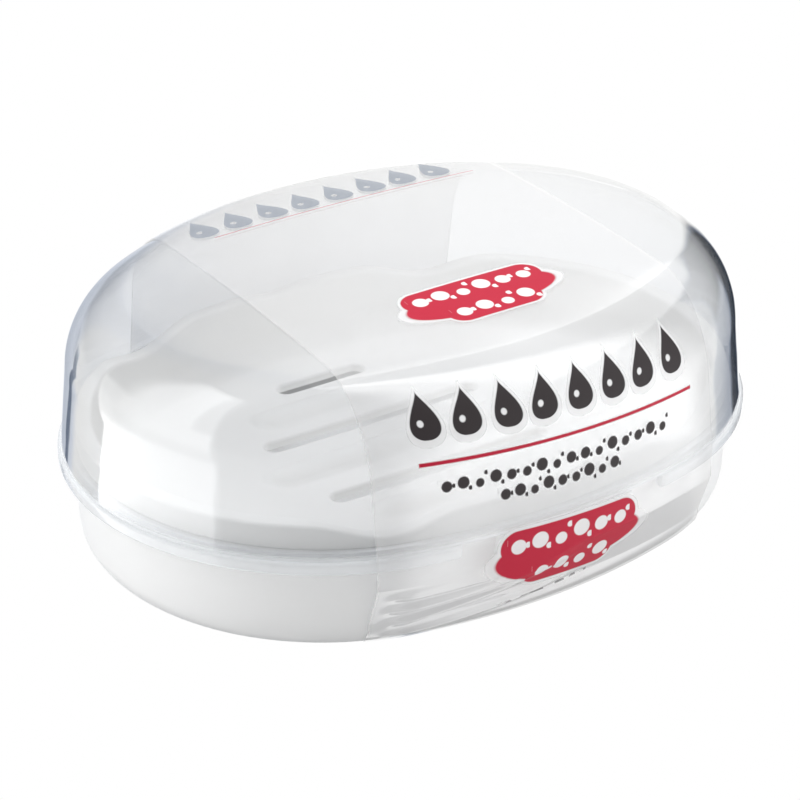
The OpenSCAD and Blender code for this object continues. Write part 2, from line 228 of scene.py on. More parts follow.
# Materials

class Value:
    """A number or colour inside a material; its maths is written as plain Python."""

    def __init__(self, maker, socket):
        self.maker, self.socket = maker, socket

    def __add__(self, other):
        return self.maker.maths("ADD", self, other)

    def __sub__(self, other):
        return self.maker.maths("SUBTRACT", self, other)

    def __mul__(self, other):
        return self.maker.maths("MULTIPLY", self, other)

    def __truediv__(self, other):
        return self.maker.maths("DIVIDE", self, other)

    def __rsub__(self, other):
        return self.maker.maths("SUBTRACT", other, self)

    def __pow__(self, other):
        return self.maker.maths("POWER", self, other)

    def __neg__(self):
        return self.maker.maths("MULTIPLY", self, -1.0)

    def __abs__(self):
        return self.maker.maths("ABSOLUTE", self)

    __radd__ = __add__
    __rmul__ = __mul__


class Maker:
    """Builds one material or world, node by node."""

    def __init__(self, owner):
        owner.use_nodes = True
        self.owner, self.tree = owner, owner.node_tree
        self.tree.nodes.clear()

    def node(self, kind, settings=None, sockets=None, out=0):
        """One node of any kind; sockets are given by name or number."""
        node = self.tree.nodes.new("ShaderNode" + kind)
        for name, value in (settings or {}).items():
            setattr(node, name, value)
        for name, value in (sockets or {}).items():
            if isinstance(value, Value):
                self.tree.links.new(value.socket, node.inputs[name])
            else:
                node.inputs[name].default_value = value
        return Value(self, node.outputs[out])

    def maths(self, operation, *values):
        return self.node("Math", {"operation": operation}, dict(enumerate(values)))

    def smallest(self, first, *rest):
        for value in rest:
            first = self.maths("MINIMUM", first, value)
        return first

    def largest(self, first, *rest):
        for value in rest:
            first = self.maths("MAXIMUM", first, value)
        return first

    def fade(self, value, start, stop):
        """0 below start, 1 above stop, smooth between; start may be above stop."""
        return self.node("MapRange", {"interpolation_type": "SMOOTHSTEP"},
                         {"Value": value, "From Min": start, "From Max": stop})

    def place(self):
        """Position on the object, in millimetres, as three numbers."""
        here = self.node("TexCoord", out="Object")
        scaled = self.node("VectorMath", {"operation": "SCALE"}, {0: here, "Scale": 1 / MM})
        return scaled, [self.node("SeparateXYZ", sockets={0: scaled}, out=k) for k in range(3)]

    def noise(self, vector, scale, detail=2.0):
        return self.node("TexNoise", sockets={"Vector": vector, "Scale": scale, "Detail": detail})

    def colour(self, share, first, second):
        return self.node("Mix", {"data_type": "RGBA"}, {0: share, 6: first, 7: second}, out=2)

    def mix(self, share, first, second):
        return self.node("MixShader", sockets={0: share, 1: first, 2: second})

    def finish(self, shader, kind="OutputMaterial"):
        end = self.tree.nodes.new("ShaderNode" + kind)
        self.tree.links.new(shader.socket, end.inputs["Surface"])
        return self.owner


class Printer(Maker):
    """A maker that also draws: each shape is a distance in millimetres, negative inside it."""

    def inside(self, distance, soft=0.12):
        return self.fade(distance, soft, -soft)

    def length(self, across, up):
        return self.maths("SQRT", across * across + up * up)

    def circle(self, across, up, r):
        return self.length(across, up) - r

    def bar(self, across, up, left, right, low, high):
        return self.largest(left - across, across - right, low - up, up - high)

    def lozenge(self, across, up, half_l, r):
        """Bar with round ends."""
        return self.circle(self.largest(abs(across) - (half_l - r), 0.0), up, r)

    def cells(self, across, start, pitch, count):
        """Row of cells: place across the cell, a number that differs from cell to cell, and the ends."""
        cell = (across - start) / pitch
        n = self.maths("FLOOR", cell)
        ends = self.largest(start - across, across - (start + pitch * count))
        return (cell - n - 0.5) * pitch, self.maths("SINE", n * 2.4), ends

    def drops(self, across, up, start, half_h, pitch=6.65, count=8):
        """Row of water drops, each with a bright spot, and the wider row of their pale rims."""
        across, vary, ends = self.cells(across, start, pitch, count)
        lean = across - up * vary * 0.08

        def drop(grow):
            tall = half_h + grow
            s = self.largest(self.smallest(up / -tall, 1.0), -1.0)
            wide = (s + 1.0) * self.maths("SQRT", 1.0 - s * s) * (half_h * 0.5 + grow * 0.4) + grow * 0.1
            return self.largest(abs(lean) - wide, abs(up) - tall, ends)

        spot = self.circle(lean + half_h * 0.2, up + half_h * 0.36, half_h * 0.13)
        return self.largest(drop(0.0), -spot), drop(1.0)

    def foam(self, across, up, start, pitch, count, size):
        """Row of round bubbles of several sizes."""
        across, vary, ends = self.cells(across, start, pitch, count)
        big = self.circle(across, up - vary * 0.35 * size, (vary * 0.18 + 1.0) * size)
        small = self.circle(across - 1.25 * size, up + vary * 1.3 * size, 0.42 * size)
        return self.largest(self.smallest(big, small), ends)

    def label(self, across, up, half_l=14.2, half_h=4.8):
        """Oval with two round-ended bars over it, and the two rows of pale bubbles on it."""
        oval = (self.length(across / half_l, up / half_h) - 1.0) * half_h
        high_bar = self.lozenge(across, up - 2.9, 13.2, 3.1)
        low_bar = self.lozenge(across - 0.3, up + 3.1, 8.9, 3.0)
        high_row = self.foam(across, up - 2.9, start=-11.9, pitch=3.96, count=6, size=1.35)
        low_row = self.foam(across - 0.3, up + 3.2, start=-7.7, pitch=4.0, count=4, size=1.3)
        return self.smallest(oval, high_bar, low_bar), self.smallest(high_row, low_row)


def new_material(name, maker=Maker):
    return maker(bpy.data.materials.new(name))


def white_plastic(name, colour, roughness, soak_glow):
    """Moulded white plastic: satin, with a faint flow of the mould.

    The last argument is the strength of a painted glow on the inside of the floor, which stands in for the
    light that soaks through the thin walls."""
    m = new_material(name)
    place, (x, y, z) = m.place()
    cloud = m.noise(place, 0.05, 3.0)
    grain = m.noise(place, 3.0)
    flow = [c * 0.985 for c in colour[:3]] + [1]
    bump = m.node("Bump", sockets={"Strength": 0.04, "Distance": 0.0001, "Height": grain})
    from_middle = m.maths("SQRT", x * x + y * y * 1.9)
    # Painted glow: the inside of the floor glows a little, standing in for light that soaks through the
    # thin walls
    on_floor = m.fade(z, 11.4, 9.8) * m.fade(z, 1.2, 2.0) * m.fade(from_middle, 56.0, 50.0)
    return m.finish(m.node("BsdfPrincipled", sockets={
        "Base Color": m.colour(cloud, flow, colour),
        "Roughness": m.fade(grain, 0.2, 0.8) * 0.06 + roughness,
        "IOR": 1.49,
        "Specular IOR Level": 0.35,
        "Emission Color": m.colour(on_floor, (0, 0, 0, 1), (soak_glow, soak_glow, soak_glow, 1)),
        "Emission Strength": 1.0,
        "Normal": bump}))


def clear_inside():
    """The clear plastic's inner side: a faint tint and gloss, without a painted dark edge of its own."""
    m = new_material("clear_plastic_inside")
    clear = m.node("BsdfTransparent", sockets={"Color": (0.965, 0.97, 0.975, 1)})
    gloss = m.node("BsdfGlossy", sockets={"Color": WHITE, "Roughness": 0.05})
    return m.finish(m.mix(0.035, clear, gloss))


def clear_plastic():
    """Clear polished plastic: see-through and mirror-like at a slant, with painted blue-grey shade where
    seen edge-on, which stands in for the dark surroundings that the edges would show.

    The bead of the skirt is thick, so it looks milky."""
    m = new_material("clear_plastic")
    place, (x, y, z) = m.place()
    ripple = m.noise(place, 0.12, 1.0)
    bump = m.node("Bump", sockets={"Strength": 0.25, "Distance": 0.0004, "Height": ripple})
    slant = m.node("LayerWeight", sockets={"Blend": 0.5}, out="Facing")
    wall_foot = SKIRT_TOP + 1.2
    # Painted shade: above the bead, the wall turns dark blue-grey where it is seen edge-on
    painted_edge_dark = m.fade(slant, 0.7, 0.94) * m.fade(z, wall_foot - 0.8, wall_foot)
    bead = m.fade(z, wall_foot, wall_foot - 1.1)
    clear = m.node("BsdfTransparent", sockets={"Color": (0.95, 0.955, 0.965, 1)})
    # Dark blue-grey see-through colour of the painted edge shade
    edge = m.node("BsdfTransparent", sockets={"Color": (0.07, 0.11, 0.2, 1)})
    milk = m.node("BsdfDiffuse", sockets={"Color": (0.93, 0.95, 0.97, 1)})
    gloss = m.node("BsdfGlossy", {"distribution": "GGX"}, {
        "Color": WHITE, "Roughness": 0.03, "Normal": bump})
    body = m.mix(bead * 0.6 + 0.01, m.mix(painted_edge_dark, clear, edge), milk)
    mirror = m.smallest(slant ** 4.0 * 2.8 + 0.06, 0.85) * (1.0 - bead * 0.5)
    return m.finish(m.mix(mirror, body, gloss))


def film_print_and_shadows(m, place, crease, u, y, z):
    """Cover and colour of the print (drops, bubbles and labels) and of painted shadows along a crease, by
    u along the film.

    They stand by height on the front and lie by y on top."""
    tilt = u * 0.031
    low = z + tilt
    # v is the height on the film, counted on round the shoulder
    climb = m.smallest(m.largest((z - SHOULDER_Z) / 12.8, 0.0), 1.0)
    v = m.smallest(z, SHOULDER_Z) + m.maths("ARCSINE", climb) * 11.2 + tilt - 0.07

    on_front = m.fade(y, -20.0, -22.0)
    under_heading = m.fade(z, 24.0, 22.0)
    on_top = m.fade(z, 42.0, 43.0)
    on_rear = m.fade(z, 38.0, 39.0) * m.fade(y, 10.0, 12.0)

    heading, heading_rim = m.drops(u, v - 38.5, start=-25.0, half_h=3.65)
    rear_heading, _ = m.drops(u, y - 27.8, start=-27.4, half_h=3.9)
    line_one = m.foam(u, v - 27.8, start=-21.0, pitch=2.75, count=16, size=0.9)
    line_two = m.foam(u, v - 24.7, start=-11.2, pitch=2.6, count=9, size=0.9)
    squeeze = 1.08
    front_label, front_foam = m.label(u - 1.9, (low - 12.75) * squeeze)
    top_label, top_foam = m.label(u - 1.4, y + 20.6)

    # Painted shadows: short dark marks along a sharp crease low on the front
    crease_line = abs(z - 5.5 - u * 0.06 - (crease - 0.5) * 1.5) - 0.24
    broken = m.fade(m.noise(place, 0.8, 0.0), 0.48, 0.53) * 0.85
    shadows = m.inside(crease_line) * m.inside(m.bar(u, v, -10.6, 6.8, 0.0, 9.0)) * on_front * broken

    black = m.largest(m.inside(heading), m.inside(line_one), m.inside(line_two)) * on_front
    red_rule = m.inside(m.bar(u, v, -23.8, 28.7, 31.4, 32.0)) * on_front
    red_front = m.inside(front_label) * on_front * under_heading
    red_top = m.inside(top_label) * on_top
    red = m.largest(red_rule, red_front, red_top)
    pale = m.largest(m.inside(front_foam) * red_front, m.inside(top_foam) * red_top)
    rims = m.largest(
        m.inside(heading_rim) * on_front,
        m.inside(front_label - 0.6) * on_front * under_heading,
        m.inside(top_label - 0.5) * on_top)
    rear_red = m.inside(m.bar(u, y, -23.8, 28.6, 22.75, 23.05), 0.1) * on_top
    rear_grey = m.inside(rear_heading) * on_rear

    cover = m.largest(black, red, rear_red * 0.55, rear_grey * 0.75, rims * 0.55, shadows)
    tone = m.colour(rear_grey, (0.85, 0.85, 0.86, 1), GREY)
    tone = m.colour(m.largest(red, rear_red), tone, RED)
    tone = m.colour(pale, tone, PALE)
    return cover, m.colour(m.largest(black, shadows), tone, BLACK)


def clear_film():
    """Thin clear film, a little hazy, with its print and painted crease shadows."""
    m = new_material("clear_film", Printer)
    place, (x, y, z) = m.place()
    u = x + y * FILM_SLANT
    slant = m.node("LayerWeight", sockets={"Blend": 0.5}, out="Facing")
    pull = m.node("VectorMath", {"operation": "MULTIPLY"}, {0: place, 1: (0.09, 0.03, 0.05)})
    crease = m.noise(pull, 1.0, 0.0)
    bump = m.node("Bump", sockets={"Strength": 0.15, "Distance": 0.0006, "Height": crease})
    clear = m.node("BsdfTransparent", sockets={"Color": (0.995, 0.995, 1, 1)})
    haze = m.node("BsdfDiffuse", sockets={"Color": (0.9, 0.9, 0.91, 1), "Roughness": 0.5})
    gloss = m.node("BsdfGlossy", sockets={"Color": WHITE, "Roughness": 0.06, "Normal": bump})
    edges = m.fade(abs(u - FILM_MIDDLE), FILM_HALF_W - 0.3, FILM_HALF_W - 0.1)
    low_front = m.fade(z, 15.5, 13.0) * m.fade(y, 0.0, -1.0)
    cloudy = m.fade(crease, 0.35, 0.8) * 0.05 + 0.17 + edges * 0.14 + low_front * 0.1
    mirror = m.smallest(slant ** 4.0 * 0.9 + 0.16, 0.6)
    film = m.mix(mirror, m.mix(cloudy, clear, haze), gloss)
    cover, tone = film_print_and_shadows(m, place, crease, u, y, z)
    # Shader of the print's inks, which also paints the crease shadows
    ink_and_painted_shadow = m.node("BsdfPrincipled", sockets={
        "Base Color": tone, "Roughness": 0.4, "IOR": 1.49, "Specular IOR Level": 0.25, "Normal": bump})
    return m.finish(m.mix(cover, film, ink_and_painted_shadow))


# Shapes

def fall(x):
    """How far the lid's top falls towards its two ends."""
    return END_FALL * (x / HALF_L) ** 2


def wall_inset(z):
    """Inset of the lid's drafted wall at height z."""
    return WALL_IN + WALL_DRAFT * (z - SKIRT_TOP) / WALL_H


def crown_at_shoulder(t):
    """Rise of the crown at angle t of the shoulder, 0 at its foot."""
    return CROWN_H * (1 - (1 - (1 - TOP_SHARE) * (1 - math.cos(t))) ** 2)


def crown_at_top(share):
    """Rise of the crown at a share of the way out over the top."""
    return CROWN_H * (1 - (share * TOP_SHARE) ** 2)


def shoulder_r(t):
    """End radius of the outline, which tightens over the shoulder."""
    return END_R + (TOP_END_R - END_R) * math.sin(t)


def shoulder_ring(t, depth):
    points = outline(shoulder_r(t), TOP_IN - (SHOULDER_W - depth) * math.cos(t))
    z = SHOULDER_Z + (SHOULDER_H - depth) * math.sin(t) + crown_at_shoulder(t)
    return raise_to(points, z - fall(points[:, 0]) * math.sin(t))


def top_ring(share, depth):
    points = share * outline(TOP_END_R, TOP_IN)
    return raise_to(points, TOP_Z + crown_at_top(share) - fall(points[:, 0]) - depth)


def level_ring(inset, z):
    return raise_to(outline(END_R, inset), z)


def notched_ring(inset, z):
    """Ring of the skirt's bead that runs back into the wall towards each notch, in a rounded end."""
    ring = level_ring(inset, z)
    flat = level_ring(max(inset, WALL_IN), z)
    near = np.clip((NOTCH_HALF_W + NOTCH_EASE - np.abs(ring[:, 0])) / NOTCH_EASE, 0, 1)
    return ring + (flat - ring) * (1 - np.sqrt(1 - near ** 2))[:, None]


def lid_shape():
    """The lid as one closed shell, and how many of its rings are on the outside."""
    shares = np.linspace(0.08, 1, 14)
    angles = np.radians(np.linspace(86, 0, 23))
    walls = np.linspace(SHOULDER_Z, SKIRT_TOP, 6)[1:-1]
    bead = [(WALL_IN, SKIRT_TOP)]
    bead += corner(BEAD_R, SKIRT_TOP - BEAD_R, BEAD_R, 90, 0, 5)
    bead += corner(BEAD_R, SKIRT_Z + BEAD_R, BEAD_R, 0, -90, 5)
    outside = [top_ring(s, 0) for s in shares]
    outside += [shoulder_ring(t, 0) for t in angles]
    outside += [level_ring(wall_inset(z), z) for z in walls]
    outside += [notched_ring(inset, z) for inset, z in bead]
    inside = [level_ring(SKIRT_T, SKIRT_Z), level_ring(SKIRT_T, SEAT_Z)]
    inside += [level_ring(wall_inset(z) + LID_T, z) for z in (SEAT_Z, 23.0, 27.5)]
    inside += [shoulder_ring(t, LID_T) for t in angles[::-1]]
    inside += [top_ring(s, LID_T) for s in shares[::-1]]
    middle = TOP_Z + CROWN_H
    return stack(outside + inside, (0, 0, middle), (0, 0, middle - LID_T)), len(outside)


def cut_away(thing, boxes):
    """Cuts boxes, given by their corners in millimetres, out of an object's mesh."""
    for low, high in boxes:
        bpy.ops.mesh.primitive_cube_add(size=1)
        cutter = bpy.context.object
        low, high = Vector(low) * MM, Vector(high) * MM
        cutter.data.transform(Matrix.LocRotScale((low + high) / 2, None, high - low))
        cut = thing.modifiers.new("cut", "BOOLEAN")
        cut.operation, cut.solver, cut.object = "DIFFERENCE", "EXACT", cutter
        bpy.context.view_layer.update()
        whole = thing.evaluated_get(bpy.context.evaluated_depsgraph_get())
        mesh = bpy.data.meshes.new_from_object(whole)
        thing.modifiers.clear()
        thing.data = mesh
        bpy.data.objects.remove(cutter)
    thing.data.shade_smooth()
    thing.data.set_sharp_from_angle(angle=math.radians(SHARP))


def base_shape():
    """The tub with its lip, rounded bottom corner and foot ring, and the two snap tabs."""
    bend_r = CORNER_R - BASE_T
    floor_in = BASE_FOOT_IN + BASE_T + bend_r
    foot_in = BASE_FOOT_IN + CORNER_R
    # Two rings on the floor keep its faces short
    line = [(floor_in + step, FLOOR_TOP) for step in (20, 8)]
    line += corner(floor_in, FLOOR_TOP + bend_r, bend_r, -90, 0, 12)
    line += corner(BASE_IN + BASE_T - LIP_R, LIP_TOP - LIP_R, LIP_R, 180, 90, 4)
    line += corner(LIP_IN + FOOT_R, LIP_TOP - FOOT_R, FOOT_R, 90, 0, 4)
    line += [(LIP_IN, LIP_FOOT), (BASE_IN, LIP_FOOT)]
    line += corner(foot_in, CORNER_R, CORNER_R, 0, -90, 20)
    line += [(foot_in + FOOT_W, 0), (foot_in + FOOT_W + FOOT_H, FOOT_H)]
    rings = [level_ring(inset, z) for inset, z in line]
    tub = stack(rings, (0, 0, FLOOR_TOP), (0, 0, FOOT_H))
    return joined(tub, *[snap_tab(side) for side in (-1, 1)])


def tab_profile(outer, root):
    """Outline of a snap tab across the wall, as pairs (radius, height)."""
    top, foot = SKIRT_TOP - SNAP_GAP, SKIRT_Z - TAB_DROP
    turns = np.radians([0, 22, 45, 67, 90])
    edge = outer - TAB_EDGE
    profile = [(root, foot - BASE_IN)]
    profile += [(edge + TAB_EDGE * math.sin(a), foot + TAB_EDGE - TAB_EDGE * math.cos(a)) for a in turns]
    profile += [(edge + TAB_EDGE * math.cos(a), top - TAB_EDGE + TAB_EDGE * math.sin(a)) for a in turns]
    return profile + [(root, top)]


def snap_tab(side):
    """A lug on the long side, with rounded edges; side is -1 for the front, 1 for the rear."""
    big = side_radius(END_R)
    drop = big - HALF_W
    outer = big - SNAP_GAP / 2
    root = outer - BASE_IN - TAB_WELD
    profile = tab_profile(outer, root)
    arc, soft = math.asin(TAB_HALF_W / big), TAB_EDGE / big
    inner = arc - 0.3 * soft
    turns = np.concatenate([[-arc, -inner], np.linspace(-arc, arc, 33)[1:-1], [inner, arc]])
    points = []
    for turn in turns:
        pull = max(0.0, (abs(turn) - (arc - soft)) / soft)
        back = TAB_EDGE * (1 - math.sqrt(max(0.0, 1 - pull ** 2)))
        for r, z in profile:
            r -= back * (r > root)
            points.append((r * math.sin(turn), side * (r * math.cos(turn) - drop), z))
    n, last = len(profile), (len(turns) - 1) * len(profile)
    faces = [[start + k, start + (k + 1) % n, start + (k + 1) % n + n, start + k + n]
             for start in range(0, last, n) for k in range(n)]
    faces += [list(range(n))[::-1], list(range(last, last + n))]
    return points, faces if side > 0 else [face[::-1] for face in faces]


def hump(t):
    """1 at t = 0, falling smoothly to 0 at t = 1 and t = -1."""
    t = np.asarray(t, float)
    return np.where(np.abs(t) < 1, (1 + np.cos(np.pi * t)) / 2, 0.0)


def wave_ring(inset, z):
    """Ring of the tray's rim, which dips four times and falls a little in the middle of the long sides."""
    points = outline(END_R, inset)
    x = points[:, 0]
    dips = DIP * hump((np.abs(x) - DIP_X) / DIP_HALF_L) + MID_FALL * hump(x / MID_HALF_L)
    return raise_to(points, z - dips)


def bar_distance(x, y, middle_y, half_l, r):
    """Distance outside a straight bar with round ends along X; negative inside."""
    along = np.maximum(np.abs(x) - (half_l - r), 0)
    return np.hypot(along, y - middle_y) - r


def bowl_z(points):
    """Height of the tray's floor without its ribs: a shallow bowl."""
    share = np.array([reach(x, y, END_R, TRAY_FLOOR_IN) for x, y in points])
    return TRAY_Z + FLOOR_RISE * share ** 2


def tray_floor_z(points):
    """Height of the tray's floor, with its ribs and with soft edges at the slots."""
    x, y = points.T
    z = bowl_z(points)
    crest_r = (RIB_W ** 2 / 4 + RIB_H ** 2) / (2 * RIB_H)
    blend_h, fillet = 0.7, 0.35
    for middle_y, half_l in RIBS:
        d = bar_distance(x, y, middle_y, half_l, RIB_W / 2) + RIB_W / 2
        rib = TRAY_Z + RIB_H - crest_r + np.sqrt(np.maximum(crest_r ** 2 - d ** 2, 0))
        rib = np.where(d < crest_r, rib, 0)
        blend = np.clip(0.5 + (rib - z) / blend_h, 0, 1)
        z = z + (rib - z) * blend + fillet * blend * (1 - blend)
    for middle_y, half_l in SLOTS:
        d = bar_distance(x, y, middle_y, half_l, SLOT_R)
        t = np.clip(1 - d / SLOT_EDGE, 0, 1)
        z = z - SLOT_EDGE * (1 - np.sqrt(1 - t ** 2))
    return z


def slot_ring(middle_y, half_l, r):
    """Outline of a slot, widened to radius r."""
    end_x = half_l - SLOT_R
    turns = np.linspace(-math.pi / 2, math.pi / 2, 20)
    right = np.column_stack([end_x + r * np.cos(turns), middle_y + r * np.sin(turns)])
    left = np.column_stack([-end_x - r * np.cos(turns), middle_y - r * np.sin(turns)])
    steps = np.linspace(end_x, -end_x, 26)[1:-1]
    high = np.column_stack([steps, np.full(len(steps), middle_y + r)])
    low = np.column_stack([-steps, np.full(len(steps), middle_y - r)])
    return np.concatenate([right, high, left, low])


def floor_net():
    """The tray floor's flat net of triangles, finer round the slots, which stay open."""
    loops = [outline(END_R, TRAY_FLOOR_IN)] + [slot_ring(y, half_l, SLOT_R) for y, half_l in SLOTS]
    widths = (0.08, 0.2, 0.35, 0.6, 1.1)
    loose = [slot_ring(y, half_l, SLOT_R + width) for y, half_l in SLOTS for width in widths]
    grid_x, grid_y = np.meshgrid(np.arange(-48, 48.1, 0.9), np.arange(-34, 34.1, 0.75))
    grid = np.column_stack([grid_x.ravel(), grid_y.ravel()])
    off_edge, off_slot = 0.8, 1.5
    keep = np.array([reach(x, y, END_R, TRAY_FLOOR_IN + off_edge) < 1 for x, y in grid])
    for y, half_l in SLOTS:
        keep &= bar_distance(*grid.T, y, half_l, SLOT_R) > off_slot
    points = np.concatenate(loops + loose + [grid[keep]])
    edges, start = [], 0
    for loop in loops:
        n = len(loop)
        edges += [(start + k, start + (k + 1) % n) for k in range(n)]
        start += n
    verts, _, faces, _, _, _ = delaunay_2d_cdt([Vector(p) for p in points], edges, [], 0, 1e-6)
    flat = np.array([tuple(v) for v in verts])

    def on_floor(face):
        middle = flat[list(face)].mean(axis=0)
        in_slot = any(bar_distance(*middle, y, half_l, SLOT_R) < 0 for y, half_l in SLOTS)
        return reach(*middle, END_R, TRAY_FLOOR_IN) <= 1 and not in_slot

    return flat, [list(face) for face in faces if on_floor(face)]


def tray_floor():
    """The tray floor's top, underside and slot walls."""
    flat, faces = floor_net()
    parts = [
        (raise_to(flat, tray_floor_z(flat)), faces),
        (raise_to(flat, bowl_z(flat) - TRAY_T), [face[::-1] for face in faces])]
    for y, half_l in SLOTS:
        loop = slot_ring(y, half_l, SLOT_R)
        parts.append(stack([raise_to(loop, tray_floor_z(loop)), raise_to(loop, bowl_z(loop) - TRAY_T)]))
    return parts


def tray_shape():
    """The tray: wall and wavy rim as stacked rings, and the floor."""
    bend_z = TRAY_Z + FLOOR_RISE + TRAY_BEND_R
    inner = corner(TRAY_FLOOR_IN, bend_z, TRAY_BEND_R, -90, 0, 14)
    outer = corner(TRAY_FLOOR_IN, bend_z, TRAY_BEND_R + TRAY_T, 0, -90, 14)
    rim = [(RIM_EDGE_IN + RIM_R / 3, RIM_TOP - 2 * RIM_R)]
    rim += corner(RIM_EDGE_IN - RIM_R, RIM_TOP - RIM_R, RIM_R, 180, 90, 6)
    rim += corner(RIM_IN + RIM_OUT_R, RIM_TOP - RIM_OUT_R, RIM_OUT_R, 90, 0, 6)
    rim_foot = LIP_TOP + 0.02
    foot = corner(RIM_IN + FOOT_R, rim_foot + FOOT_R, FOOT_R, 0, -90, 3) + [(TRAY_WALL_IN, rim_foot)]
    rings = [level_ring(*p) for p in inner] + [wave_ring(*p) for p in rim]
    rings += [level_ring(*p) for p in foot + outer]
    return joined(stack(rings), *tray_floor())


def band_point(share, side, r, inset):
    """Point of the film on a level outline, front (-1) or rear (1)."""
    x0 = FILM_LEFT + (FILM_RIGHT - FILM_LEFT) * share
    x1 = x0 - FILM_SLANT * side * half_width(x0, r, inset)
    x2 = x0 - FILM_SLANT * side * half_width(x1, r, inset)
    return x2, side * half_width(x2, r, inset)


def film_side_rows(side):
    """Rows of the film up the skirt, the wall and the shoulder."""
    rows = [[(*band_point(c, side, END_R, -FILM_GAP), z) for c in FILM_COLS]
            for z in np.linspace(SKIRT_Z, SKIRT_TOP, 3)]
    for h in np.linspace(0, 1, 9)[1:-1]:
        z = SKIRT_TOP + WALL_H * h
        rows.append([(*band_point(c, side, END_R, WALL_TOP_IN * h - FILM_GAP), z) for c in FILM_COLS])
    for t in np.radians(np.linspace(0, 87, 23)):
        inset = TOP_IN - (SHOULDER_W + FILM_GAP) * math.cos(t)
        z = SHOULDER_Z + (SHOULDER_H + FILM_GAP) * math.sin(t) + crown_at_shoulder(t)
        row = [band_point(c, side, shoulder_r(t), inset) for c in FILM_COLS]
        rows.append([(x, y, z - fall(x) * math.sin(t)) for x, y in row])
    return rows


def film_top_rows():
    """Rows of the film over the lid's top, from front to rear."""
    rows = []
    for share in np.linspace(-1, 1, 61)[1:-1]:
        row = []
        for c in FILM_COLS:
            x0 = FILM_LEFT + (FILM_RIGHT - FILM_LEFT) * c
            y = share * half_width(x0, TOP_END_R, TOP_IN)
            x = x0 - FILM_SLANT * y
            crown = crown_at_top(reach(x, y, TOP_END_R, TOP_IN))
            row.append((x, y, TOP_Z + crown - fall(x) + FILM_GAP))
        rows.append(row)
    return rows


def fold(x, z):
    """How far the loose film stands out in its folds, low down on the front left."""
    ease_in = np.clip((x - FILM_LEFT) / FOLD_EASE_IN, 0, 1)
    ease_out = np.clip((FOLD_END - x) / FOLD_EASE_OUT, 0, 1)
    return ease_in * ease_out * sum(
        depth * math.exp(-((z - height - tilt * (x - FOLD_START)) / width) ** 2)
        for height, tilt, depth, width in FOLDS)


def film_low_rows(side):
    """The film below the skirt: straight down, then in to the base's bottom corner."""
    rows = []
    heights = np.concatenate([np.linspace(SKIRT_Z, HANG_Z, 8), np.linspace(HANG_Z, HEM_Z, 60)[1:]])
    for z in heights:
        if z >= HANG_Z:
            inset = 0.0
        elif z >= CORNER_R:
            inset = (BASE_FOOT_IN - SLACK) * (HANG_Z - z) / (HANG_Z - CORNER_R)
        else:
            inset = BASE_FOOT_IN + CORNER_R * (1 - math.cos(math.asin(1 - z / CORNER_R))) - SLACK
        row = []
        for c in FILM_COLS:
            x, y = band_point(c, side, END_R, inset - FILM_GAP)
            if side < 0 and z < HANG_Z:
                x, y = band_point(c, side, END_R, inset - FILM_GAP - min(fold(x, z), inset))
            row.append((x, y, z))
        rows.append(row)
    return rows


def net(rows):
    """Points and faces of a grid of rows."""
    n = len(rows[0])
    points = [p for row in rows for p in row]
    faces = [[j * n + k, j * n + k + 1, (j + 1) * n + k + 1, (j + 1) * n + k]
             for j in range(len(rows) - 1) for k in range(n - 1)]
    return points, faces


# Pieces

clear = clear_plastic()
film = clear_film()
base_white = white_plastic("base_plastic", (0.895, 0.9, 0.905, 1), roughness=0.42, soak_glow=0.16)
tray_white = white_plastic("tray_plastic", (0.92, 0.915, 0.9, 1), roughness=0.32, soak_glow=0.1)

lid_mesh, outer_rings = lid_shape()
lid = piece("clear_lid", lid_mesh, clear, "cover", "lid")
lid.data.materials.append(clear_inside())
for face in lid.data.polygons:
    # Of the two fans of triangles, which come last, the lower one closes the inner side
    inner = face.index >= outer_rings * PER_RING
    inner = inner and (len(face.vertices) == 4 or face.center.z < (TOP_Z + 1) * MM)
    face.material_index = int(inner)
notches = [((-NOTCH_HALF_W, y - CUT_REACH, CUT_Z), (NOTCH_HALF_W, y + CUT_REACH, SKIRT_TOP))
           for y in (-HALF_W, HALF_W)]
cut_away(lid, notches)
piece("tub", base_shape(), base_white, "tub", "base")
piece("soap_tray", tray_shape(), tray_white, "tray", "drain_tray", sharp=50)
upper = film_side_rows(-1) + film_top_rows() + film_side_rows(1)[::-1]
piece("film_band", net(upper), film, "cover", "film_upper", sharp=60)
lower = joined(net(film_low_rows(-1)[::-1]), net(film_low_rows(1)))
piece("film_skirt", lower, film, "tub", "film_lower", sharp=60)


# Stage, light and camera

def look_at(thing, place, target):
    thing.location = place
    thing.rotation_euler = (Vector(target) - Vector(place)).to_track_quat("-Z", "Y").to_euler()


def softbox(name, place, target, size, power):
    """A soft rectangular light that isn't mirrored; what the plastic mirrors is the studio's panorama."""
    lamp = bpy.data.lights.new(name, "AREA")
    lamp.shape, lamp.size, lamp.size_y = "RECTANGLE", size[0], size[1]
    lamp.energy = power
    thing = bpy.data.objects.new(name, lamp)
    bpy.context.collection.objects.link(thing)
    look_at(thing, place, target)
    thing.visible_camera = False
    thing.visible_glossy = False


def studio_floor():
    """Large pale floor, plain white to the camera."""
    m = new_material("studio_floor")
    seen = m.node("LightPath", out="Is Camera Ray")
    matt = m.node("BsdfDiffuse", sockets={"Color": (0.74, 0.74, 0.74, 1)})
    glow = m.node("Emission", sockets={"Color": WHITE, "Strength": 1.0})
    mesh = bpy.data.meshes.new("floor")
    mesh.from_pydata([(-4, -4, 0), (4, -4, 0), (4, 4, 0), (-4, 4, 0)], [], [(0, 1, 2, 3)])
    mesh.materials.append(m.finish(m.mix(seen, matt, glow)))
    floor = bpy.data.objects.new("floor", mesh)
    bpy.context.collection.objects.link(floor)
    floor.visible_glossy = False


